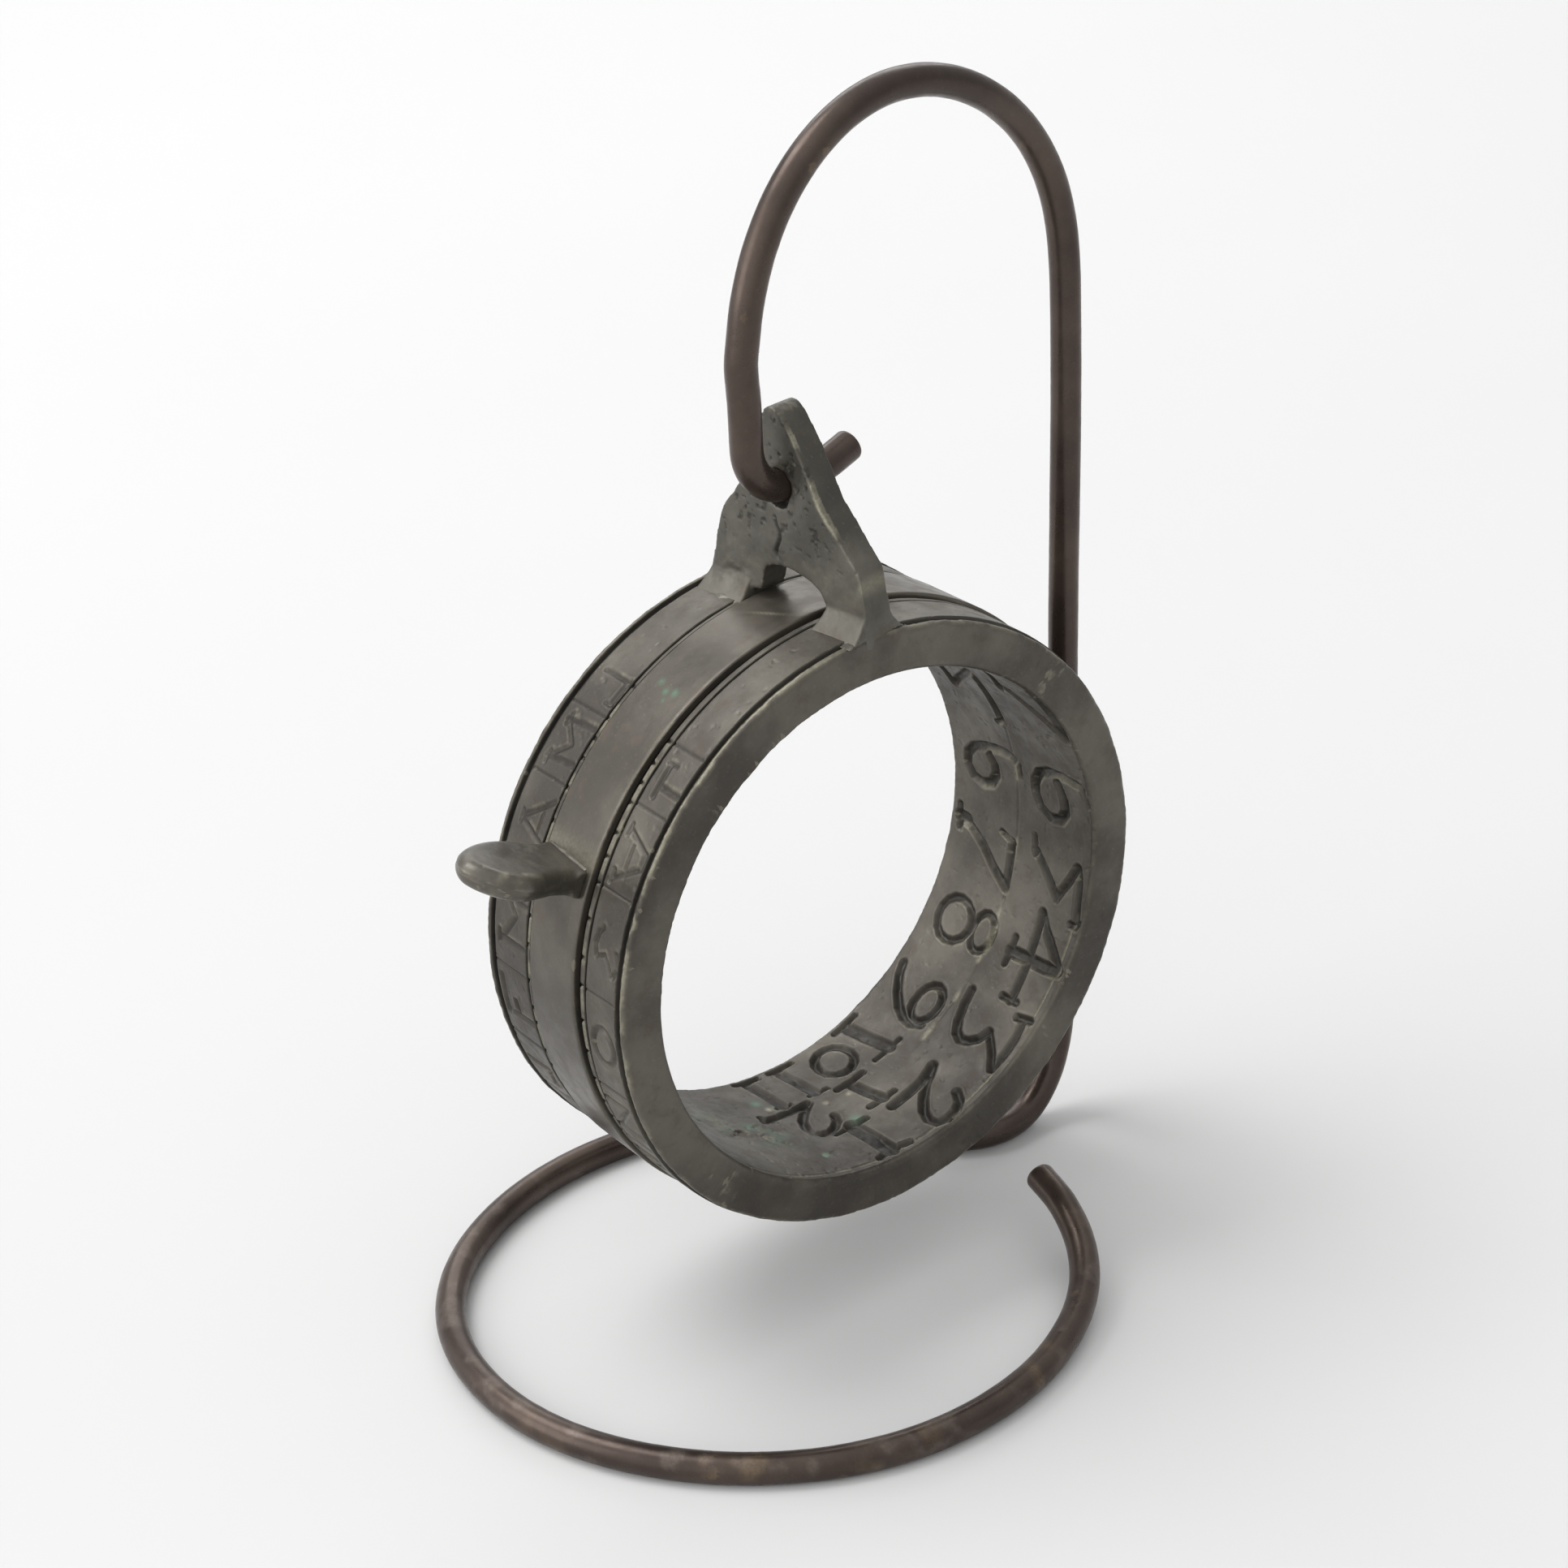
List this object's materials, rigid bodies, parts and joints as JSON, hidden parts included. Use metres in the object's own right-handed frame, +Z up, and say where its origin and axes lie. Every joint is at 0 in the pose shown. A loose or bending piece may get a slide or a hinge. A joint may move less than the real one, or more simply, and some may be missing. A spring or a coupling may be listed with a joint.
{
  "type": "ring dial on stand",
  "caption": "Bronze altitude ring dial with sliding pinhole band, hung by its yoke from a bent-rod stand; tells the hour from the sun's height.",
  "frame": {"origin": "bottom centre of the whole object's bounding box, on the ground", "axes": "+Z up, ring axis along Y with the front face (July to December side) towards -Y, +X towards the stand's upright"},
  "size_m": [0.0718, 0.0562, 0.1062],
  "materials": {
    "ring_bronze": "aged, grey-green patina, worn edges",
    "yoke_bronze": "aged, worn bright on one edge",
    "band_bronze": "aged, smooth",
    "tab_bronze": "aged, worn tip",
    "braze_metal": "as run, dull",
    "rod_brass": "dark brown patina, soft sheen"
  },
  "bodies": {
    "stand": {"stand_rod": "rod_brass"},
    "dial": {"dial_ring": "ring_bronze", "suspension_yoke": "yoke_bronze", "braze_front_foot": "braze_metal", "braze_back_foot": "braze_metal"},
    "slider": {"slider_band": "band_bronze", "thumb_tab": "tab_bronze", "braze_tab_root": "braze_metal"}
  },
  "joints": [
    {"name": "dial_swing", "type": "hinge", "parent": "stand", "child": "dial", "pos_m": [0.00092, 0.00186, 0.07531], "axis": [0.9914, 0.1305, 0], "range_deg": [-25, 25]},
    {"name": "slider_turn", "type": "hinge", "parent": "dial", "child": "slider", "pos_m": [0.0022, 0.00252, 0.03726], "axis": [0, -1, 0], "range_deg": [-50, 85]}
  ]
}
